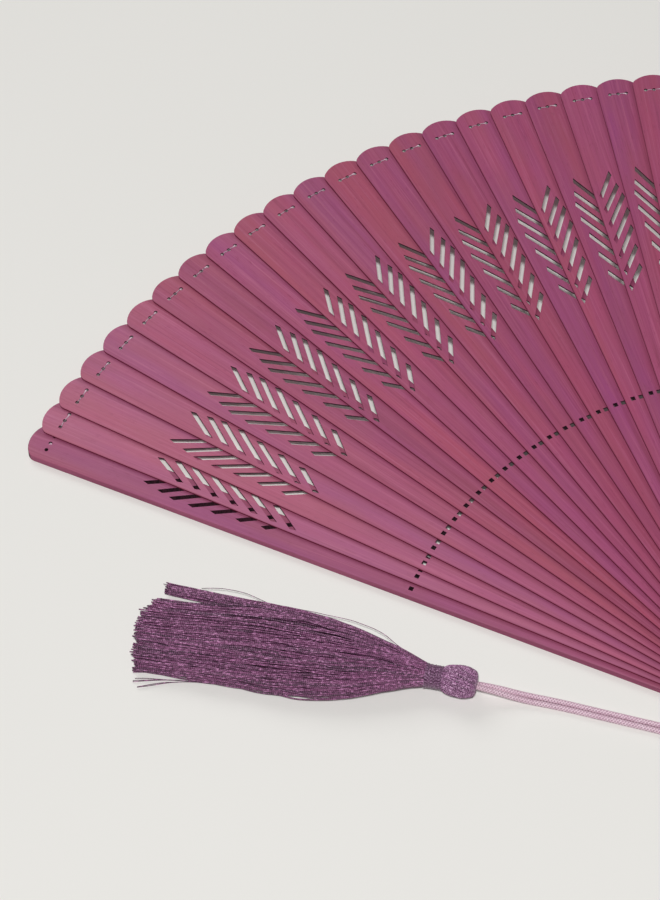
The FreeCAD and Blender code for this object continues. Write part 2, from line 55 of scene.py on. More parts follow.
cam_data = bpy.data.cameras.new("camera")
cam = bpy.data.objects.new("camera", cam_data)
scene.collection.objects.link(cam)
scene.camera = cam
cam_data.sensor_width = 36.0
cam_data.lens = 115.213
cam_data.clip_start, cam_data.clip_end = 0.02, 20.0
right = (0.999962, -0.007848, -0.003879)
up = (0.008616, 0.803548, 0.595178)
back = (-0.001554, -0.595188, 0.803585)
place = (-0.104644, -0.351020, 0.583581)
cam.matrix_world = Matrix([[right[i], up[i], back[i], place[i]] for i in range(3)] + [[0, 0, 0, 1]])


# ---------------------------------------------------------------- the cord's line

CORD_POINTS = [
    (-69.90, 9.75, 3.15), (-64.70, 9.25, 2.25), (-58.50, 8.00, 0.95), (-50.00, 6.10, 0.75), (-38.50, 2.70, 0.75),
    (-24.00, -1.50, 0.85), (-11.00, -5.90, 1.60), (-2.75, -9.10, 2.95), (1.88, -11.00, 3.45), (0.80, -13.69, 3.45),
    (-3.90, -11.65, 2.95), (-12.00, -8.05, 1.60), (-24.60, -2.98, 0.85), (-38.90, 1.22, 0.75), (-50.30, 4.55, 0.75),
    (-58.80, 6.35, 1.05), (-64.85, 7.60, 2.80), (-69.90, 8.35, 4.25),
]
CORD_R = 0.70


def spline_points(points, resolution):
    """The points, in mm, of one smooth open NURBS spline with these control points."""
    data = bpy.data.curves.new("route", "CURVE")
    data.dimensions = "3D"
    line = data.splines.new("NURBS")
    line.points.add(len(points) - 1)
    for p, (x, y, z) in zip(line.points, points):
        p.co = (x * MM, y * MM, z * MM, 1.0)
    line.order_u = 3
    line.use_endpoint_u = True
    line.resolution_u = resolution
    data.resolution_u = resolution
    holder = bpy.data.objects.new("route", data)
    scene.collection.objects.link(holder)
    bpy.context.view_layer.update()
    mesh = bpy.data.meshes.new_from_object(holder)
    found = np.array([v.co for v in mesh.vertices], float) / MM
    bpy.data.objects.remove(holder)
    bpy.data.meshes.remove(mesh)
    return found


def respace(points, step):
    """The same line with its points a fixed step apart."""
    gaps = np.linalg.norm(np.diff(points, axis=0), axis=1)
    along = np.concatenate([[0], np.cumsum(gaps)])
    count = max(2, int(round(along[-1] / step)) + 1)
    t = np.linspace(0, along[-1], count)
    return np.stack([np.interp(t, along, points[:, i]) for i in range(3)], 1)


# ---------------------------------------------------------------- mesh tools

def link(name, mesh, material, body, smooth=True):
    piece = bpy.data.objects.new(name, mesh)
    scene.collection.objects.link(piece)
    mesh.materials.append(material)
    if smooth:
        mesh.polygons.foreach_set("use_smooth", [True] * len(mesh.polygons))
    mesh.update()
    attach(piece, body)
    return piece


def frames_along(paths, across=None):
    """Tangent and two cross directions, carried along each path without twist, or the first kept to across. paths is (threads, points, 3)."""
    tangent = np.gradient(paths, axis=1)
    tangent /= np.linalg.norm(tangent, axis=2, keepdims=True) + 1e-12
    m, n, _ = paths.shape
    side = np.zeros_like(paths)
    first = np.cross(tangent[:, 0], np.array([0.0, 0.0, 1.0]))
    weak = np.linalg.norm(first, axis=1) < 1e-3
    first[weak] = np.cross(tangent[weak, 0], np.array([0.0, 1.0, 0.0]))
    if across is not None:
        side = across - tangent * np.sum(across * tangent, 2, keepdims=True)
        side /= np.linalg.norm(side, axis=2, keepdims=True)
        return tangent, side, np.cross(tangent, side)
    side[:, 0] = first / np.linalg.norm(first, axis=1, keepdims=True)
    for i in range(1, n):
        s = side[:, i - 1] - tangent[:, i] * np.sum(side[:, i - 1] * tangent[:, i], 1, keepdims=True)
        side[:, i] = s / (np.linalg.norm(s, axis=1, keepdims=True) + 1e-12)
    over = np.cross(tangent, side)
    return tangent, side, over


def threads(name, paths, radius, sides, tones, flat=1.0, across=None):
    """A mesh of round threads, capped at both ends. radius is (threads, points) in mm. Each has its own tone, or one for each point, and its length in mm along it."""
    paths = np.asarray(paths, float)
    m, n, _ = paths.shape
    radius = np.broadcast_to(np.asarray(radius, float), (m, n))
    _, side, over = frames_along(paths, across)
    over = over * flat
    a = np.linspace(0, 2 * math.pi, sides, endpoint=False)
    ring = (
        side[:, :, None, :] * np.cos(a)[None, None, :, None] + over[:, :, None, :] * np.sin(a)[None, None, :, None]
    ) * radius[:, :, None, None]
    verts = (paths[:, :, None, :] + ring).reshape(-1, 3) * MM
    base = (np.arange(m) * n * sides)[:, None, None]
    i = np.arange(n - 1)[None, :, None] * sides
    j = np.arange(sides)[None, None, :]
    jn = (j + 1) % sides
    quads = np.stack([base + i + j, base + i + jn, base + i + sides + jn, base + i + sides + j], -1).reshape(-1, 4)
    cap0 = (np.arange(m) * n * sides)[:, None] + np.arange(sides)[None, ::-1]
    cap1 = (np.arange(m) * n * sides + (n - 1) * sides)[:, None] + np.arange(sides)[None, :]
    mesh = bpy.data.meshes.new(name)
    mesh.vertices.add(len(verts))
    mesh.vertices.foreach_set("co", verts.astype(np.float32).ravel())
    loops = np.concatenate([quads.ravel(), cap0.ravel(), cap1.ravel()])
    counts = np.concatenate([np.full(len(quads), 4), np.full(m, sides), np.full(m, sides)])
    starts = np.concatenate([[0], np.cumsum(counts)[:-1]])
    mesh.loops.add(len(loops))
    mesh.loops.foreach_set("vertex_index", loops.astype(np.int32))
    mesh.polygons.add(len(counts))
    mesh.polygons.foreach_set("loop_start", starts.astype(np.int32))
    mesh.update(calc_edges=True)
    tone = mesh.attributes.new("tone", "FLOAT", "POINT")
    tones = np.asarray(tones, np.float32)
    tones = np.broadcast_to(tones[:, None] if tones.ndim == 1 else tones, (m, n))
    tone.data.foreach_set("value", np.repeat(tones.ravel(), sides))
    gaps = np.linalg.norm(np.diff(paths, axis=1), axis=2)
    along = np.concatenate([np.zeros((m, 1)), np.cumsum(gaps, 1)], 1)
    run = mesh.attributes.new("run", "FLOAT", "POINT")
    run.data.foreach_set("value", np.repeat(along.astype(np.float32).ravel(), sides))
    mesh.validate()
    return mesh


def smooth(x, low, high):
    t = np.clip((x - low) / (high - low), 0, 1)
    return t * t * (3 - 2 * t)


# ---------------------------------------------------------------- node tools

class Tree:
    def __init__(self, name):
        self.material = bpy.data.materials.new(name)
        self.material.use_nodes = True
        self.nodes = self.material.node_tree.nodes
        self.links = self.material.node_tree.links
        self.shader = self.nodes["Principled BSDF"]

    def node(self, kind, **values):
        n = self.nodes.new(kind)
        for k, v in values.items():
            setattr(n, k, v)
        return n

    def put(self, value, socket):
        if isinstance(value, bpy.types.NodeSocket):
            self.links.new(value, socket)
        else:
            socket.default_value = value

    def math(self, operation, a, b=0.0, c=0.0, clamp=False):
        n = self.node("ShaderNodeMath", operation=operation, use_clamp=clamp)
        self.put(a, n.inputs[0]), self.put(b, n.inputs[1]), self.put(c, n.inputs[2])
        return n.outputs[0]

    def ramp(self, value, low, high, to_low=0.0, to_high=1.0):
        n = self.node("ShaderNodeMapRange", interpolation_type="SMOOTHSTEP")
        for s, v in zip(n.inputs[:5], (value, low, high, to_low, to_high)):
            self.put(v, s)
        return n.outputs[0]

    def mix(self, share, a, b, blend="MIX"):
        n = self.node("ShaderNodeMix", data_type="RGBA", blend_type=blend)
        n.clamp_factor = True
        self.put(share, n.inputs[0]), self.put(a, n.inputs[6]), self.put(b, n.inputs[7])
        return n.outputs[2]

    def noise(self, vector, scale, detail=2.0, roughness=0.5, w=None):
        n = self.node("ShaderNodeTexNoise")
        if w is not None:
            n.noise_dimensions = "4D"
            self.put(w, n.inputs["W"])
        self.put(vector, n.inputs["Vector"])
        self.put(scale, n.inputs["Scale"]), self.put(detail, n.inputs["Detail"])
        self.put(roughness, n.inputs["Roughness"])
        return n.outputs["Fac"]

    def scaled(self, vector, x, y, z):
        n = self.node("ShaderNodeVectorMath", operation="MULTIPLY")
        self.put(vector, n.inputs[0])
        n.inputs[1].default_value = (x, y, z)
        return n.outputs[0]

    def bump(self, height, distance, strength=1.0):
        n = self.node("ShaderNodeBump")
        n.inputs["Strength"].default_value = strength
        n.inputs["Distance"].default_value = distance
        self.put(height, n.inputs["Height"])
        return n.outputs["Normal"]


# ---------------------------------------------------------------- bamboo

def bamboo(index, angle, guard):
    """Dyed and cut bamboo. The grain runs along the stick, whose axis is at angle."""
    t = Tree(f"bamboo_{index:02d}")
    local = np.random.default_rng(900 + index)
    coords = t.node("ShaderNodeTexCoord")
    turn = t.node("ShaderNodeVectorRotate", rotation_type="Z_AXIS")
    t.links.new(coords.outputs["Object"], turn.inputs["Vector"])
    turn.inputs["Angle"].default_value = -angle
    stick = turn.outputs[0]
    parts = t.node("ShaderNodeSeparateXYZ")
    t.links.new(stick, parts.inputs[0])
    u, v = parts.outputs["X"], parts.outputs["Y"]
    seed = 3.1 * index + 0.7

    drift = t.noise(t.scaled(stick, 9.0, 95.0, 40.0), 1.0, 3.0, 0.55, w=seed)
    fibre = t.noise(t.scaled(stick, 26.0, 1900.0, 300.0), 1.0, 4.0, 0.62, w=seed + 40.0)
    fine = t.noise(t.scaled(stick, 70.0, 5200.0, 500.0), 1.0, 2.0, 0.5, w=seed + 80.0)
    band = t.noise(t.scaled(stick, 5.0, 420.0, 40.0), 1.0, 3.0, 0.5, w=seed + 120.0)
    fleck = t.noise(t.scaled(stick, 420.0, 5200.0, 500.0), 1.0, 1.0, 0.5, w=seed + 160.0)
    blot = t.noise(t.scaled(stick, 60.0, 160.0, 60.0), 1.0, 2.0, 0.5, w=seed + 200.0)

    warm, cool = srgb(172, 80, 104), srgb(158, 76, 123)
    dark, pale = srgb(134, 54, 86), srgb(188, 106, 138)
    colour = t.mix(t.ramp(drift, 0.34, 0.66), warm, cool)
    shift = float(local.uniform(-1, 1))
    colour = t.mix(abs(shift) * 0.30, colour, warm if shift > 0 else cool)
    tone = float(local.uniform(0.93, 1.06))
    colour = t.mix(t.ramp(band, 0.54, 0.74, 0.0, 0.50), colour, dark)
    colour = t.mix(t.ramp(fibre, 0.50, 0.74, 0.0, 0.66), colour, pale)
    colour = t.mix(t.ramp(fibre, 0.48, 0.26, 0.0, 0.70), colour, dark)
    colour = t.mix(t.ramp(fine, 0.52, 0.74, 0.0, 0.42), colour, pale)
    colour = t.mix(t.ramp(fleck, 0.64, 0.72, 0.0, 0.50), colour, dark)
    colour = t.mix(t.ramp(blot, 0.3, 0.7, 0.0, 0.28), colour, srgb(158, 88, 100))
    # painted sheen: the outer sticks are painted paler, standing in for the light's reflection on them, and the middle
    # ones are painted deeper
    inward = min(index, 45 - index)
    painted_sheen = min(max(1.0 - inward / 7.5, 0.0), 1.0) * (0.45 if guard else 1.0)
    painted_depth = min(max((inward - 7.0) / 8.0, 0.0), 1.0)
    shade = (tone * (1 - 0.07 * painted_depth), tone * (0.97 - 0.14 * painted_depth), tone * (0.99 - 0.08 * painted_depth), 1.0)
    colour = t.mix(1.0, colour, shade, "MULTIPLY")
    colour = t.mix(0.20 * painted_sheen, colour, srgb(206, 150, 172))

    # painted shade: the part that the next stick covers, and a band beside its edge, are painted darker
    half = t.math("MULTIPLY_ADD", u, 0.01285, 0.00305)
    if index < 45:
        gap = angle - axis_of(index + 1)
        bared = t.math("SUBTRACT", v, t.math("MULTIPLY_ADD", u, 0.01285 - math.sin(gap), 0.00305))
        colour = t.mix(t.ramp(bared, 0.0016, -0.0001, 0.0, 0.42), colour, srgb(112, 36, 66))
        # painted shade: a dark ring under the square holes, seen through the holes of the stick above, so that they
        # look dark
        reach = t.math("SQRT", t.math("ADD", t.math("MULTIPLY", u, u), t.math("MULTIPLY", v, v)))
        ring = t.ramp(t.math("ABSOLUTE", t.math("SUBTRACT", reach, 0.0922)), 0.0019, 0.0012)
        colour = t.mix(t.math("MULTIPLY", ring, t.ramp(bared, 0.0, -0.0002)), colour, srgb(40, 18, 28))

    # the cut edges: dark from the saw along the stick, charred inside the pierced cells
    inset = t.math("SUBTRACT", half, t.math("ABSOLUTE", v))
    rim = t.ramp(inset, 0.00036, 0.0, 0.0, 0.45 if not guard else 0.25)
    colour = t.mix(rim, colour, srgb(112, 40, 68))
    normal = t.node("ShaderNodeSeparateXYZ")
    t.links.new(coords.outputs["Normal"], normal.inputs[0])
    wall = t.ramp(t.math("ABSOLUTE", normal.outputs["Z"]), 0.75, 0.35)
    inner = t.ramp(inset, 0.00012, 0.00055)
    edge = t.mix(t.ramp(fibre, 0.4, 0.6), srgb(144, 70, 100), srgb(156, 80, 110)) if guard else srgb(122, 30, 60)
    burnt = t.mix(t.ramp(fine, 0.4, 0.6), srgb(40, 16, 26), srgb(74, 34, 50))
    side = t.mix(inner, edge, burnt)
    colour = t.mix(wall, colour, side)
    t.links.new(colour, t.shader.inputs["Base Color"])

    rough = t.ramp(fibre, 0.3, 0.7, 0.52, 0.40)
    rough = t.math("MAXIMUM", rough, t.math("MULTIPLY", wall, 0.75))
    t.links.new(rough, t.shader.inputs["Roughness"])
    height = t.math("ADD", t.math("MULTIPLY", fibre, 0.7), t.math("MULTIPLY", fine, 0.3))
    height = t.math("SUBTRACT", height, t.ramp(fleck, 0.66, 0.74, 0.0, 0.5))
    t.links.new(t.bump(height, 0.00005, 0.8), t.shader.inputs["Normal"])
    t.shader.inputs["Specular IOR Level"].default_value = 0.42
    t.shader.inputs["IOR"].default_value = 1.45
    return t.material


def put_on(name, material):
    data = nodes[name].data
    data.materials.clear()
    data.materials.append(material)


STEP = math.radians(2.92)
CLOSE = {0: -1.12, 1: -0.42, 44: 0.42, 45: 1.12}


def axis_of(k):
    """The angle of stick k in the open fan: even steps, but for the ends, which the thread draws closer."""
    return math.radians(90.0 + CLOSE.get(k, 0.0)) + (22.5 - k) * STEP


for k in range(46):
    name = "guard_left" if k == 0 else "guard_right" if k == 45 else f"leaf_{k:02d}"
    put_on(name, bamboo(k, axis_of(k), k in (0, 45)))


# ---------------------------------------------------------------- metal

def metal(name, colour, worn, scale):
    t = Tree(name)
    coords = t.node("ShaderNodeTexCoord").outputs["Object"]
    cloud = t.noise(coords, 900.0 * scale, 4.0, 0.6)
    scratch = t.noise(t.scaled(coords, 700.0, 9000.0, 2500.0), 1.0, 3.0, 0.6)
    t.links.new(t.mix(t.ramp(cloud, 0.35, 0.7), colour, worn), t.shader.inputs["Base Color"])
    t.links.new(t.math("ADD", t.ramp(cloud, 0.3, 0.7, 0.22, 0.38), t.ramp(scratch, 0.5, 0.8, 0.0, 0.18)), t.shader.inputs["Roughness"])
    t.links.new(t.bump(scratch, 0.00002, 0.5), t.shader.inputs["Normal"])
    t.shader.inputs["Metallic"].default_value = 1.0
    return t.material


brass = metal("brass", srgb(214, 178, 112), srgb(176, 136, 78), 1.0)
wire = metal("wire_brass", srgb(208, 172, 108), srgb(168, 128, 74), 1.6)
put_on("rivet_pin", brass)
put_on("rivet_cap", brass)
put_on("bail", wire)


# ---------------------------------------------------------------- thread materials

def thread_material(name, low, mid, high, twist, rough=0.38, sheen=0.0, glints=0.85, grain=(2300.0, 2300.0, 2300.0)):
    """Twisted rayon thread: a tone for each thread, with painted highlights: small glints along it, and bands where the
    plies turn.
    """
    t = Tree(name)
    coords = t.node("ShaderNodeTexCoord").outputs["Object"]
    tone = t.node("ShaderNodeAttribute", attribute_name="tone").outputs["Fac"]
    run = t.node("ShaderNodeAttribute", attribute_name="run").outputs["Fac"]
    glint = t.noise(t.scaled(coords, *grain), 1.0, 2.0, 0.6)
    patch = t.noise(coords, 260.0, 2.0, 0.5)
    ply = t.math("SINE", t.math("MULTIPLY_ADD", run, twist, t.math("MULTIPLY", tone, 40.0)))
    colour = t.mix(t.ramp(tone, 0.0, 1.0), low, mid)
    # painted highlights: small glints in the high colour
    colour = t.mix(t.ramp(glint, 0.52, 0.68, 0.0, glints), colour, high)
    colour = t.mix(t.ramp(glint, 0.47, 0.33, 0.0, 0.85), colour, low)
    # painted highlights in bands where the plies turn
    colour = t.mix(t.ramp(ply, 0.1, 1.0, 0.0, 0.35), colour, high)
    colour = t.mix(t.ramp(patch, 0.55, 0.75, 0.0, 0.30), colour, low)
    t.links.new(colour, t.shader.inputs["Base Color"])
    height = t.math("ADD", t.math("MULTIPLY", ply, 0.5), glint)
    t.links.new(t.bump(height, 0.00006, 0.7), t.shader.inputs["Normal"])
    t.links.new(t.ramp(glint, 0.35, 0.7, rough + 0.14, rough - 0.06), t.shader.inputs["Roughness"])
    t.shader.inputs["Specular IOR Level"].default_value = 0.5
    t.shader.inputs["Sheen Weight"].default_value = sheen
    t.shader.inputs["Sheen Roughness"].default_value = 0.4
    return t.material


plum = thread_material("plum_thread", srgb(42, 8, 35), srgb(110, 47, 91), srgb(218, 150, 200), 14.0, sheen=0.1, grain=(1250.0, 3000.0, 3000.0))
plum_head = thread_material("plum_head_thread", srgb(78, 30, 68), srgb(148, 88, 136), srgb(236, 188, 226), 14.0, sheen=0.2)
plum_neck = thread_material("plum_winding", srgb(60, 20, 52), srgb(116, 66, 106), srgb(206, 160, 198), 9.0, sheen=0.15, glints=0.55)
pale_thread = thread_material("pale_thread", srgb(192, 142, 168), srgb(222, 186, 204), srgb(252, 240, 247), 20.0)
# the stitch thread's low tone is the painted shade inside the holes, with the stain of the dye
stitch_thread = thread_material("stitch_thread", srgb(60, 30, 46), srgb(232, 198, 216), srgb(246, 226, 238), 20.0, glints=0.25)


# ---------------------------------------------------------------- the limiting thread's stitches

HOLE_U, HOLES = 192.5, (2.25, 0.0, -2.25)


def stick_point(k, u, v, z):
    a = axis_of(k)
    return (u * math.cos(a) - v * math.sin(a), u * math.sin(a) + v * math.cos(a), z)


for k in range(1, 45):
    top = 2.0 + 0.55 * k
    bottom = top - 0.43
    local = np.random.default_rng(5000 + k)
    du = local.uniform(-0.16, 0.16, 12)
    path = []
    # a running stitch: up through the first hole, over, a dip in the middle hole, over, and down through the last.
    # Its plies lie flat, so that it stays within the gap to the leaf above.
    for i, (v, z) in enumerate((
        (2.02, bottom - 0.02), (1.92, top - 0.16), (1.74, top + 0.05), (1.12, top + 0.06), (0.56, top + 0.05),
        (0.10, top - 0.46), (-0.50, top + 0.05), (-1.12, top + 0.06), (-1.84, top + 0.06), (-2.36, top + 0.03), (-2.56, bottom - 0.02),
    )):
        path.append(stick_point(k, HOLE_U + du[i], v, z))
    line = respace(spline_points(path, 6), 0.12)
    # several plies fill the holes, and are painted dark where they sink into them: painted shade, with the stain of the
    # dye; one crosses the wood, and stands proud at the last hole, where it is painted paler as a painted highlight
    sunk = smooth(top - line[:, 2], 0.0, 0.14)
    last = smooth(np.linspace(0, 1, len(line)), 0.66, 0.80)
    radius = 0.125 + 0.045 * last + 0.10 * sunk
    tones = (0.50 + 0.5 * last) * (1 - sunk)
    mesh = threads(f"stitch_{k:02d}", line[None], radius[None], 8, tones[None], flat=0.32, across=np.array([math.cos(axis_of(k)), math.sin(axis_of(k)), 0.0]))
    link(f"stitch_{k:02d}", mesh, stitch_thread, f"leaf_{k:02d}_body")

for label in ("thread_knot_left", "thread_knot_right"):
    put_on(label, pale_thread)


# ---------------------------------------------------------------- tassel

TASSEL_AT = np.array([-77.40, 10.83])
TASSEL_TURN = math.radians(-12.6)
AXIS_Z = 3.95
EX = np.array([math.cos(TASSEL_TURN), math.sin(TASSEL_TURN), 0.0])
EY = np.array([-math.sin(TASSEL_TURN), math.cos(TASSEL_TURN), 0.0])


def tassel_point(local):
    """Points (..., 3) in the tassel's own directions, with their height above the ground, to the frame."""
    local = np.asarray(local, float)
    out = local[..., 0:1] * EX + local[..., 1:2] * EY
    out[..., 0] += TASSEL_AT[0]
    out[..., 1] += TASSEL_AT[1]
    out[..., 2] = local[..., 2]
    return out


def wander(count, points, step, seed):
    """Smooth random offsets of about unit size, (count, points), that change over about step points."""
    r = np.random.default_rng(seed)
    knots = int(math.ceil(points / step)) + 4
    values = r.normal(0, 1, (count, knots))
    shift = r.uniform(0, 1, (count, 1))
    pos = np.arange(points)[None, :] / step + shift
    i = pos.astype(int)
    f = pos - i
    rows = np.arange(count)[:, None]
    a, b, c, d = (values[rows, np.minimum(i + q, knots - 1)] for q in range(4))
    return ((1 - f) ** 3 * a + (3 * f**3 - 6 * f**2 + 4) * b + (-3 * f**3 + 3 * f**2 + 3 * f + 1) * c + f**3 * d) / 6 * 1.5


REACH = np.array([2.2, 4.2, 7.4, 11.0, 15.4, 20.0, 25.1, 30.0, 35.0, 41.0, 47.0, 54.0, 61.0, 68.0, 75.0])
UPPER = np.array([2.2, 2.7, 4.0, 5.4, 6.9, 8.1, 9.2, 10.1, 10.7, 10.9, 10.5, 9.7, 8.9, 8.6, 9.0])
LOWER = -np.array([2.2, 2.7, 3.6, 4.9, 6.3, 7.8, 9.0, 9.8, 10.4, 10.8, 10.7, 10.6, 10.6, 10.8, 11.2])
TALL = np.array([4.4, 5.2, 6.4, 7.4, 8.1, 8.4, 8.5, 8.4, 8.2, 7.8, 7.3, 6.7, 6.1, 5.5, 5.0])
FLOOR = np.array([1.75, 1.35, 0.75, 0.40, 0.26, 0.24, 0.24, 0.24, 0.24, 0.24, 0.24, 0.24, 0.24, 0.24, 0.24])
END_Y = np.array([-12.5, -8.0, -3.8, 0.4, 2.8, 5.0, 7.6, 10.1, 12.5])
END_X = np.array([72.3, 73.0, 73.6, 74.2, 74.3, 73.4, 72.6, 71.9, 71.2])


def skirt(count, segments, seed, lo_a=-1.0, hi_a=1.0):
    r = np.random.default_rng(seed)
    a = np.linspace(lo_a, hi_a, count) + r.uniform(-1, 1, count) * (hi_a - lo_a) / count * 1.5
    a = np.clip(a, -0.995, 0.995)
    r.shuffle(a)
    b = r.uniform(0, 1, count) ** 0.72
    locks = 46
    la, lb = r.uniform(-1, 1, locks), r.uniform(0, 1, locks) ** 0.7
    near = np.argmin((a[:, None] - la[None]) ** 2 + 0.12 * (b[:, None] - lb[None]) ** 2, 1)
    s = np.linspace(0, 1, segments)
    last = np.interp(a * 11.0, END_Y, END_X) + r.normal(0, 0.55, count) - np.abs(r.normal(0, 0.35, count))
    reach = 2.2 + (last[:, None] - 2.2) * s[None]
    hold = smooth(reach, 8.0, 42.0)
    aa = a[:, None] + (la[near] - a)[:, None] * 0.34 * hold
    bb = b[:, None] + (lb[near] - b)[:, None] * 0.25 * hold
    upper, lower = np.interp(reach, REACH, UPPER), np.interp(reach, REACH, LOWER)
    tall, floor = np.interp(reach, REACH, TALL), np.interp(reach, REACH, FLOOR)
    loose = smooth(reach, 4.0, 30.0)
    y = (upper + lower) / 2 + aa * (upper - lower) / 2
    crown = np.sqrt(np.clip(1 - aa**2, 0, 1))
    round_z = floor + tall / 2 + (2 * bb - 1) * crown * tall / 2
    flat_z = floor + bb * tall * (0.10 + 0.90 * crown**0.8)
    z = round_z * (1 - loose) + flat_z * loose
    wy, wz = wander(locks, segments, segments / 3.2, seed + 1), wander(locks, segments, segments / 3.5, seed + 2)
    y = y + wy[near] * 0.45 * loose + wander(count, segments, segments / 7.0, seed + 3) * 0.34 * loose
    y = y + wander(count, segments, 2.6, seed + 4) * 0.085 * smooth(reach, 3.0, 12.0)
    z = z + wz[near] * 0.40 * loose + wander(count, segments, segments / 7.0, seed + 5) * 0.22 * loose
    z = z + wander(count, segments, 2.4, seed + 6) * 0.07 * smooth(reach, 3.0, 12.0)
    z = np.maximum(z, np.where(reach < 12, 0.0, 0.21))
    path = tassel_point(np.stack([-reach, y, z], -1))
    tones = np.clip(0.5 + (r.uniform(0, 1, locks)[near] - 0.5) * 0.95 + r.normal(0, 0.25, count), 0, 1)
    return path, tones


def follow(points, count, segments, spread, seed, end_spread=None, jitter=0.5, start=0.0):
    """Threads that run together along a line of points (reach, y, z)."""
    r = np.random.default_rng(seed)
    points = np.asarray(points, float)
    gaps = np.concatenate([[0], np.cumsum(np.linalg.norm(np.diff(points, axis=0), axis=1))])
    s = np.linspace(0, 1, segments)
    out = np.zeros((count, segments, 3))
    for i in range(count):
        total = gaps[-1] + r.normal(0, jitter)
        t = s * min(total, gaps[-1] + 0.8)
        line = np.stack([np.interp(t, gaps, points[:, c]) for c in range(3)], -1)
        for _ in range(4):
            line[1:-1] = (line[:-2] + 2 * line[1:-1] + line[2:]) / 4
        grow = np.linspace(spread, end_spread if end_spread is not None else spread, segments)
        ang, rad = r.uniform(0, 2 * math.pi), math.sqrt(r.uniform(0, 1))
        line[:, 1] += math.cos(ang) * rad * grow
        line[:, 2] += math.sin(ang) * rad * grow * 0.8
        out[i] = line
    out[..., 1] += wander(count, segments, segments / 6.0, seed + 1) * 0.22 * s
    out[..., 2] += wander(count, segments, segments / 6.0, seed + 2) * 0.12 * s
    out[..., 1] += wander(count, segments, 2.5, seed + 3) * 0.05
    out[..., 2] = np.maximum(out[..., 2], 0.2)
    out[..., 0] *= -1
    return tassel_point(out), np.clip(r.normal(0.5, 0.25, count), 0, 1)


THREAD_R = 0.185
SEGMENTS = 58
for index, (count, seed) in enumerate(((215, 11), (215, 12), (215, 13))):
    path, tones = skirt(count, SEGMENTS, seed)
    mesh = threads(f"skirt_threads_{'abc'[index]}", path, THREAD_R, 5, tones)
    piece = link(f"skirt_threads_{'abc'[index]}", mesh, plum, "tassel")
    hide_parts("tassel_skirt")

# the lock that lies apart along the upper side, and the stray threads
lock, lock_tones = follow(
    [(3.0, 1.5, 5.2), (12.0, 4.6, 6.0), (24.0, 7.9, 6.0), (35.0, 9.6, 5.2), (44.0, 10.6, 4.0), (52.0, 11.3, 2.9), (61.0, 12.1, 2.1), (70.8, 12.75, 1.7)],
    38, SEGMENTS, 0.55, 31, end_spread=1.40, jitter=1.0)
stray_lines = [
    [(8.0, 3.0, 6.5), (30.0, 9.6, 5.0), (39.4, 10.8, 3.9), (43.4, 12.0, 3.5), (47.4, 13.2, 3.5), (51.3, 13.9, 3.5), (55.6, 14.1, 3.5), (58.7, 13.9, 3.4), (62.0, 13.5, 3.2)],
    [(9.0, 3.9, 6.0), (14.0, 8.2, 3.9), (15.9, 9.6, 3.6), (19.9, 11.1, 3.5), (25.0, 12.1, 3.5), (29.9, 12.2, 3.5), (37.3, 12.4, 3.5), (46.0, 12.5, 3.2), (54.0, 12.6, 2.6)],
    [(20.0, -5.0, 1.2), (40.0, -9.2, 0.8), (51.8, -10.4, 0.7), (55.5, -10.7, 0.6), (60.2, -11.5, 0.6), (64.2, -12.6, 0.5), (68.0, -14.0, 0.5), (70.9, -15.2, 0.5)],
    [(20.0, -5.0, 1.0), (40.0, -9.4, 0.8), (51.8, -10.5, 0.7), (60.2, -11.2, 0.6), (63.8, -11.9, 0.5), (67.3, -12.6, 0.5), (72.3, -13.9, 0.5)],
    [(20.0, -5.0, 1.4), (45.0, -10.0, 0.9), (58.0, -11.0, 0.7), (64.0, -11.6, 0.6), (69.0, -12.4, 0.5), (72.0, -13.2, 0.5)],
    [(30.0, 8.0, 5.0), (44.0, 10.8, 4.0), (52.0, 12.2, 3.0), (60.0, 12.7, 2.4), (66.0, 12.9, 2.0), (71.6, 13.6, 1.8)],
]
strays, stray_tones = [], []
for i, points in enumerate(stray_lines):
    p, tn = follow(points, 2 if i in (2, 3) else 1, SEGMENTS, 0.12, 50 + i * 7, end_spread=0.35 if i in (2, 3) else 0.1, jitter=0.1)
    strays.append(p)
    stray_tones.append(tn)
path = np.concatenate([lock] + strays)
tones = np.concatenate([lock_tones] + stray_tones)
radius = np.concatenate([np.full(len(lock), THREAD_R), np.full(sum(len(p) for p in strays), 0.085)])[:, None]
mesh = threads("skirt_threads_d", path, np.repeat(radius, SEGMENTS, 1), 5, tones)
piece = link("skirt_threads_d", mesh, plum, "tassel")
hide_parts("tassel_skirt")

# the wrapped neck: one thread wound round and round
turns, per = 12, 30
w = np.linspace(0, turns, turns * per)
x = -4.15 + w / turns * 4.2
r_neck = 2.72 + 0.16 * smooth(-x, 3.0, 4.2) + 0.05 * np.sin(w * 2 * math.pi * 0.37)
coil = np.stack([x + 0.03 * np.sin(w * 9.0), r_neck * np.cos(2 * math.pi * w), AXIS_Z + r_neck * np.sin(2 * math.pi * w)], -1)
mesh = threads("neck_winding", tassel_point(coil)[None], 0.205, 6, [0.55])
piece = link("neck_winding", mesh, plum_neck, "tassel")
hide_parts("tassel_binding")

# the head: a barrel covered by threads that are laid over it in two slanting layers
HEAD_X = np.array([-0.4, 0.2, 0.9, 1.8, 2.8, 4.0, 5.2, 6.2, 7.0, 7.6, 8.0, 8.15])
HEAD_R = np.array([2.45, 2.73, 3.10, 3.42, 3.62, 3.70, 3.66, 3.52, 3.28, 2.92, 2.26, 1.20])


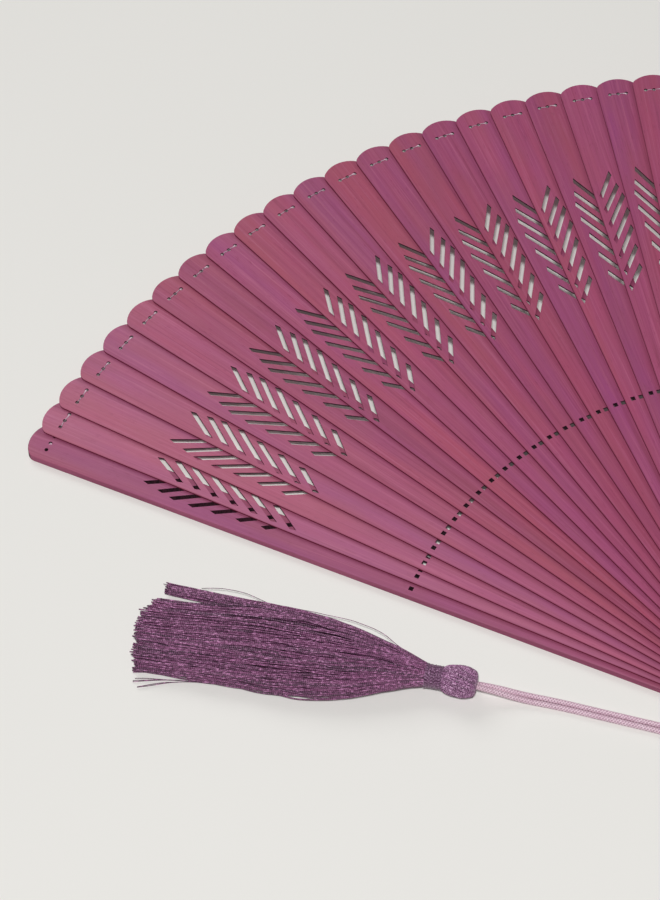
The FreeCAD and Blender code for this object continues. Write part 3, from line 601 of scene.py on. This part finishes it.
def head_layer(count, slant, lift, seed, points=34):
    r = np.random.default_rng(seed)
    s = np.linspace(0, 1, points)
    gaps = np.concatenate([[0], np.cumsum(np.hypot(np.diff(HEAD_X), np.diff(HEAD_R)))])
    out = np.zeros((count, points, 3))
    for i in range(count):
        t = s * gaps[-1]
        x, rad = np.interp(t, gaps, HEAD_X), np.interp(t, gaps, HEAD_R) + lift
        ang = 2 * math.pi * i / count + slant * s + r.normal(0, 0.02) + 0.05 * np.sin(s * 9 + r.uniform(0, 6))
        rad = rad + 0.06 * np.sin(s * 21 + r.uniform(0, 6)) + r.normal(0, 0.02)
        out[i] = np.stack([x, rad * np.cos(ang), AXIS_Z + rad * np.sin(ang)], -1)
    return tassel_point(out), np.clip(r.normal(0.5, 0.25, count), 0, 1)


under, under_tones = head_layer(52, -0.75, -0.18, 71)
over_, over_tones = head_layer(50, 0.85, 0.0, 72)
mesh = threads("head_threads", np.concatenate([under, over_]), 0.20, 6, np.concatenate([under_tones, over_tones]))
piece = link("head_threads", mesh, plum_head, "tassel")
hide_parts("tassel_head")

# the core that the threads lie on, so that nothing shows between them
core_x = np.linspace(-0.5, 8.0, 26)
core = np.stack([core_x, np.zeros(26), np.full(26, AXIS_Z)], -1)
mesh = threads("head_core", tassel_point(core)[None], (np.interp(core_x, HEAD_X, HEAD_R) - 0.30)[None], 40, [0.1])
piece = link("head_core", mesh, plum_neck, "tassel")
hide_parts("tassel_head")
neck_x = np.linspace(-5.2, 0.3, 12)
core = np.stack([neck_x, np.zeros(12), np.full(12, AXIS_Z)], -1)
mesh = threads("neck_core", tassel_point(core)[None], np.full((1, 12), 2.5), 36, [0.1])
piece = link("neck_core", mesh, plum_neck, "tassel")
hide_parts("tassel_binding")


# ---------------------------------------------------------------- the cord

line = spline_points(CORD_POINTS, 24)
fine_line = respace(line, 0.062)


def braid(line, radius, sides, pitch):
    """A round braided cord: plies that cross over and under, worked into the surface of a tube."""
    _, side, over = frames_along(line[None])
    side, over = side[0], over[0]
    gaps = np.linalg.norm(np.diff(line, axis=0), axis=1)
    s = np.concatenate([[0], np.cumsum(gaps)])
    a = np.linspace(0, 2 * math.pi, sides, endpoint=False)
    turn = 2 * math.pi * s[:, None] / pitch
    one, two = np.cos(4 * a[None] + turn), np.cos(4 * a[None] - turn)
    lift = np.maximum(one, two)
    rad = radius * (0.90 + 0.10 * np.clip(lift, -0.4, 1.0))
    ends = smooth(s, 0.0, 0.3) * smooth(s[-1] - s, 0.0, 0.3)
    rad = rad * (0.75 + 0.25 * ends[:, None])
    points = line[:, None, :] + (side[:, None, :] * np.cos(a)[None, :, None] + over[:, None, :] * np.sin(a)[None, :, None]) * rad[..., None]
    n = len(line)
    verts = points.reshape(-1, 3) * MM
    i = np.arange(n - 1)[:, None] * sides
    j = np.arange(sides)[None]
    jn = (j + 1) % sides
    quads = np.stack([i + j, i + jn, i + sides + jn, i + sides + j], -1).reshape(-1, 4).tolist()
    quads.append(list(range(sides))[::-1])
    quads.append(list(range((n - 1) * sides, n * sides)))
    mesh = bpy.data.meshes.new("tassel_cord_braid")
    mesh.from_pydata(verts.tolist(), [], quads)
    values = mesh.attributes.new("lift", "FLOAT", "POINT")
    values.data.foreach_set("value", lift.astype(np.float32).ravel())
    which = mesh.attributes.new("ply", "FLOAT", "POINT")
    which.data.foreach_set("value", (one - two).astype(np.float32).ravel())
    return mesh


def cord_material():
    t = Tree("pale_cord")
    coords = t.node("ShaderNodeTexCoord").outputs["Object"]
    lift = t.node("ShaderNodeAttribute", attribute_name="lift").outputs["Fac"]
    ply = t.node("ShaderNodeAttribute", attribute_name="ply").outputs["Fac"]
    fleck = t.noise(coords, 2300.0, 2.0, 0.6)
    patch = t.noise(coords, 180.0, 2.0, 0.5)
    colour = t.mix(t.ramp(ply, -0.6, 0.6), srgb(232, 198, 214), srgb(248, 224, 235))
    # painted shade: the braid is darker in the grooves between the plies, where lift is low
    colour = t.mix(t.ramp(lift, 0.80, 0.0, 0.0, 0.75), colour, srgb(156, 112, 134))
    colour = t.mix(t.ramp(fleck, 0.56, 0.72, 0.0, 0.55), colour, srgb(138, 102, 120))
    colour = t.mix(t.ramp(fleck, 0.46, 0.3, 0.0, 0.5), colour, srgb(246, 230, 238))
    colour = t.mix(t.ramp(patch, 0.4, 0.7, 0.0, 0.35), colour, srgb(204, 160, 182))
    t.links.new(colour, t.shader.inputs["Base Color"])
    t.links.new(t.bump(t.math("ADD", fleck, t.math("MULTIPLY", lift, 0.4)), 0.00005, 0.6), t.shader.inputs["Normal"])
    t.links.new(t.ramp(fleck, 0.3, 0.7, 0.6, 0.42), t.shader.inputs["Roughness"])
    return t.material


piece = link("tassel_cord_braid", braid(fine_line, CORD_R, 16, 0.72), cord_material(), "tassel")
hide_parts("tassel_cord")


# ---------------------------------------------------------------- floor and light

floor_mesh = bpy.data.meshes.new("floor")
floor_mesh.from_pydata([(-4, -4, 0), (4, -4, 0), (4, 4, 0), (-4, 4, 0)], [], [(0, 1, 2, 3)])
floor = bpy.data.objects.new("floor", floor_mesh)
scene.collection.objects.link(floor)
t = Tree("floor_paper")
coords = t.node("ShaderNodeTexCoord").outputs["Object"]
mottle = t.noise(coords, 9.0, 3.0, 0.5)
t.links.new(t.mix(mottle, (0.790, 0.778, 0.745, 1), (0.812, 0.800, 0.768, 1)), t.shader.inputs["Base Color"])
t.shader.inputs["Roughness"].default_value = 0.85
t.shader.inputs["Specular IOR Level"].default_value = 0.1
t.shader.inputs["Emission Color"].default_value = (1.0, 0.985, 0.95, 1)
t.shader.inputs["Emission Strength"].default_value = 0.05
floor_mesh.materials.append(t.material)

AIM = Vector((-0.08, 0.09, 0.0))


def softbox(name, direction, distance, size_x, size_y, power, colour=(1, 1, 1)):
    d = Vector(direction).normalized()
    data = bpy.data.lights.new(name, "AREA")
    data.shape = "RECTANGLE"
    data.size, data.size_y = size_x, size_y
    data.energy = power
    data.color = colour
    lamp = bpy.data.objects.new(name, data)
    scene.collection.objects.link(lamp)
    lamp.location = AIM + d * distance
    lamp.rotation_mode = "QUATERNION"
    lamp.rotation_quaternion = (-d).to_track_quat("-Z", "Y")
    return lamp


softbox("key", (-0.048, -0.546, 1.0), 1.7, 0.16, 0.16, 20.4)
softbox("back", (-0.38, 0.68, 0.66), 1.7, 1.1, 0.9, 9.4)

world = bpy.data.worlds.new("studio")
scene.world = world
world.use_nodes = True
world.node_tree.nodes["Background"].inputs["Color"].default_value = (1.0, 0.995, 0.985, 1)
world.node_tree.nodes["Background"].inputs["Strength"].default_value = 0.08
scene.view_settings.view_transform = "Standard"


# ---------------------------------------------------------------- update

bpy.context.view_layer.update()
